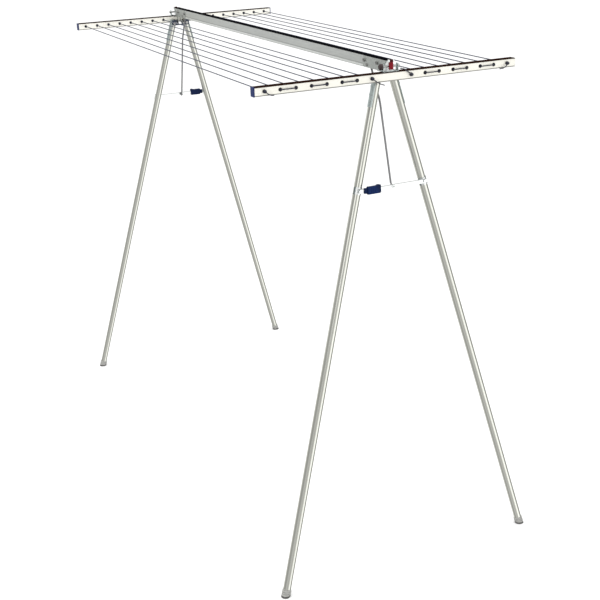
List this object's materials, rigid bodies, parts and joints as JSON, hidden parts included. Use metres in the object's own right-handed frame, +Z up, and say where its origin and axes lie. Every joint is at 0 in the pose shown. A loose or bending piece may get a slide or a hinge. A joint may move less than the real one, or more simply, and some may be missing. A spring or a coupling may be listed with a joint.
{
  "type": "clothes drying rack",
  "caption": "Free-standing clothes drying rack: central beam and two crossbars strung with parallel washing lines, on splayed folding A-frame tube legs with hinged locking braces.",
  "frame": {"origin": "on the floor, under the middle of the beam", "axes": "+X along the beam, +Y across the beam along the crossbars, +Z up"},
  "size_m": [2.0366, 0.9134, 1.5975],
  "materials": {
    "aluminium_bar": "pale anodised profile",
    "aluminium_beam": "satin grey profile",
    "aluminium_tube": "satin extruded tube",
    "black_bush": "moulded bush",
    "black_strip": "matt extruded strip",
    "blue_plastic": "moulded, slightly grained",
    "bright_steel": "zinc plated fastener",
    "brown_strip": "dark brown extruded strip",
    "dark_cap": "moulded cap",
    "line_cord": "plastic coated washing line",
    "red_plastic": "moulded",
    "rubber_foot": "ribbed rubber",
    "white_plastic": "moulded",
    "zinc_steel": "galvanised sheet"
  },
  "bodies": {
    "top_frame": {"beam": "aluminium_beam", "beam_top_strip": "black_strip", "crossbar_near": "aluminium_bar", "crossbar_far": "aluminium_bar", "crossbar_strip_near": "brown_strip", "crossbar_strip_far": "brown_strip", "crossbar_bracket_near": "zinc_steel", "crossbar_bracket_far": "zinc_steel", "beam_end_plug_near": "white_plastic", "beam_end_plug_far": "white_plastic", "crossbar_end_caps": "blue_plastic", "crossbar_screws": "bright_steel", "cross_bolts": "bright_steel", "cross_bolt_caps": "dark_cap", "beam_bolts": "bright_steel", "hinge_pins": "bright_steel", "lever_pins": "bright_steel", "line_eyelets": "black_bush", "line_left_runs": "line_cord", "line_right_runs": "line_cord", "line_turns": "line_cord", "line_knots": "line_cord", "stay_pins": "bright_steel", "hinge_bracket_near": "zinc_steel", "hinge_bracket_far": "zinc_steel"},
    "near_head": {"head_plate_near": "zinc_steel", "leg_bolts_near": "bright_steel"},
    "near_left_leg": {"leg_tube_near_left": "aluminium_tube", "leg_strap_near_left": "zinc_steel", "brace_saddle_near_left": "zinc_steel", "foot_near_left": "rubber_foot"},
    "near_right_leg": {"leg_tube_near_right": "aluminium_tube", "leg_strap_near_right": "zinc_steel", "brace_saddle_near_right": "zinc_steel", "foot_near_right": "rubber_foot"},
    "near_lock_link": {"brace_lock_link_near": "zinc_steel", "brace_centre_rivet_near": "bright_steel"},
    "near_plain_link": {"brace_plain_link_near": "zinc_steel"},
    "near_stay_swivel": {"stay_swivel_near": "bright_steel"},
    "near_stay_rod": {"stay_rod_near": "bright_steel"},
    "near_brace_lock": {"brace_lock_near": "blue_plastic"},
    "near_release_lever": {"release_lever_near": "red_plastic"},
    "far_head": {"head_plate_far": "zinc_steel", "leg_bolts_far": "bright_steel"},
    "far_right_leg": {"leg_tube_far_right": "aluminium_tube", "leg_strap_far_right": "zinc_steel", "brace_saddle_far_right": "zinc_steel", "foot_far_right": "rubber_foot"},
    "far_left_leg": {"leg_tube_far_left": "aluminium_tube", "leg_strap_far_left": "zinc_steel", "brace_saddle_far_left": "zinc_steel", "foot_far_left": "rubber_foot"},
    "far_lock_link": {"brace_lock_link_far": "zinc_steel", "brace_centre_rivet_far": "bright_steel"},
    "far_plain_link": {"brace_plain_link_far": "zinc_steel"},
    "far_stay_swivel": {"stay_swivel_far": "bright_steel"},
    "far_stay_rod": {"stay_rod_far": "bright_steel"},
    "far_brace_lock": {"brace_lock_far": "blue_plastic"},
    "far_release_lever": {"release_lever_far": "red_plastic"}
  },
  "joints": [
    {"name": "near_frame_fold", "type": "hinge", "parent": "top_frame", "child": "near_head", "pos_m": [0.86572, 0, 1.542], "axis": [0, 1, 0], "range_deg": [0, 81.62]},
    {"name": "near_left_leg_close", "type": "hinge", "parent": "near_head", "child": "near_left_leg", "pos_m": [0.86616, -0.0275, 1.53702], "axis": [0.996, 0, 0.0893], "range_deg": [0, 15.04]},
    {"name": "near_right_leg_close", "type": "hinge", "parent": "near_head", "child": "near_right_leg", "pos_m": [0.86616, 0.0275, 1.53702], "axis": [-0.996, 0, -0.0893], "range_deg": [0, 15.04]},
    {"name": "near_lock_link_fold", "type": "hinge", "parent": "near_left_leg", "child": "near_lock_link", "pos_m": [0.9131, -0.11084, 1.22972], "axis": [-0.996, 0, -0.0893], "range_deg": [0, 90.67]},
    {"name": "near_plain_link_fold", "type": "hinge", "parent": "near_right_leg", "child": "near_plain_link", "pos_m": [0.90912, 0.11084, 1.22937], "axis": [0.996, 0, 0.0893], "range_deg": [0, 90.67]},
    {"name": "near_stay_swivel_turn", "type": "hinge", "parent": "near_plain_link", "child": "near_stay_swivel", "pos_m": [0.90812, 0, 1.22928], "axis": [-0.996, 0, -0.0893], "range_deg": [0, 75.64]},
    {"name": "near_stay_rod_turn", "type": "hinge", "parent": "top_frame", "child": "near_stay_rod", "pos_m": [0.78044, 0, 1.569], "axis": [0, 1, 0], "range_deg": [0, 87.52]},
    {"name": "near_brace_lock_slide", "type": "slide", "parent": "near_lock_link", "child": "near_brace_lock", "axis": [0, 1, 0], "range_m": [0, 0.014], "stiffness_N_per_m": 150},
    {"name": "near_release_lever_press", "type": "hinge", "parent": "top_frame", "child": "near_release_lever", "pos_m": [0.9005, 0, 1.5935], "axis": [0, -1, 0], "range_deg": [0, 30], "stiffness_Nm_per_rad": 0.04},
    {"name": "far_frame_fold", "type": "hinge", "parent": "top_frame", "child": "far_head", "pos_m": [-0.86572, 0, 1.542], "axis": [0, -1, 0], "range_deg": [0, 95.12]},
    {"name": "far_right_leg_close", "type": "hinge", "parent": "far_head", "child": "far_right_leg", "pos_m": [-0.86616, 0.0275, 1.53702], "axis": [-0.996, 0, 0.0893], "range_deg": [0, 15.04]},
    {"name": "far_left_leg_close", "type": "hinge", "parent": "far_head", "child": "far_left_leg", "pos_m": [-0.86616, -0.0275, 1.53702], "axis": [0.996, 0, -0.0893], "range_deg": [0, 15.04]},
    {"name": "far_lock_link_fold", "type": "hinge", "parent": "far_right_leg", "child": "far_lock_link", "pos_m": [-0.9131, 0.11084, 1.22972], "axis": [0.996, 0, -0.0893], "range_deg": [0, 90.67]},
    {"name": "far_plain_link_fold", "type": "hinge", "parent": "far_left_leg", "child": "far_plain_link", "pos_m": [-0.90912, -0.11084, 1.22937], "axis": [-0.996, 0, 0.0893], "range_deg": [0, 90.67]},
    {"name": "far_stay_swivel_turn", "type": "hinge", "parent": "far_plain_link", "child": "far_stay_swivel", "pos_m": [-0.90812, 0, 1.22928], "axis": [0.996, 0, -0.0893], "range_deg": [0, 75.64]},
    {"name": "far_stay_rod_turn", "type": "hinge", "parent": "top_frame", "child": "far_stay_rod", "pos_m": [-0.78871, 0, 1.569], "axis": [0, -1, 0], "range_deg": [0, 102.79]},
    {"name": "far_brace_lock_slide", "type": "slide", "parent": "far_lock_link", "child": "far_brace_lock", "axis": [0, -1, 0], "range_m": [0, 0.014], "stiffness_N_per_m": 150},
    {"name": "far_release_lever_press", "type": "hinge", "parent": "top_frame", "child": "far_release_lever", "pos_m": [-0.9005, 0, 1.5935], "axis": [0, 1, 0], "range_deg": [0, 30], "stiffness_Nm_per_rad": 0.04}
  ],
  "couplings": [
    {"joint": "near_left_leg_close", "follows": "near_frame_fold", "ratio": 0.18419},
    {"joint": "near_right_leg_close", "follows": "near_frame_fold", "ratio": 0.18419},
    {"joint": "near_lock_link_fold", "follows": "near_frame_fold", "ratio": 1.1108},
    {"joint": "near_plain_link_fold", "follows": "near_frame_fold", "ratio": 1.1108},
    {"joint": "near_stay_swivel_turn", "follows": "near_frame_fold", "ratio": 0.92661},
    {"joint": "near_stay_rod_turn", "follows": "near_frame_fold", "ratio": 1.0722},
    {"joint": "far_right_leg_close", "follows": "far_frame_fold", "ratio": 0.15805},
    {"joint": "far_left_leg_close", "follows": "far_frame_fold", "ratio": 0.15805},
    {"joint": "far_lock_link_fold", "follows": "far_frame_fold", "ratio": 0.95316},
    {"joint": "far_plain_link_fold", "follows": "far_frame_fold", "ratio": 0.95316},
    {"joint": "far_stay_swivel_turn", "follows": "far_frame_fold", "ratio": 0.7951},
    {"joint": "far_stay_rod_turn", "follows": "far_frame_fold", "ratio": 1.0806}
  ]
}
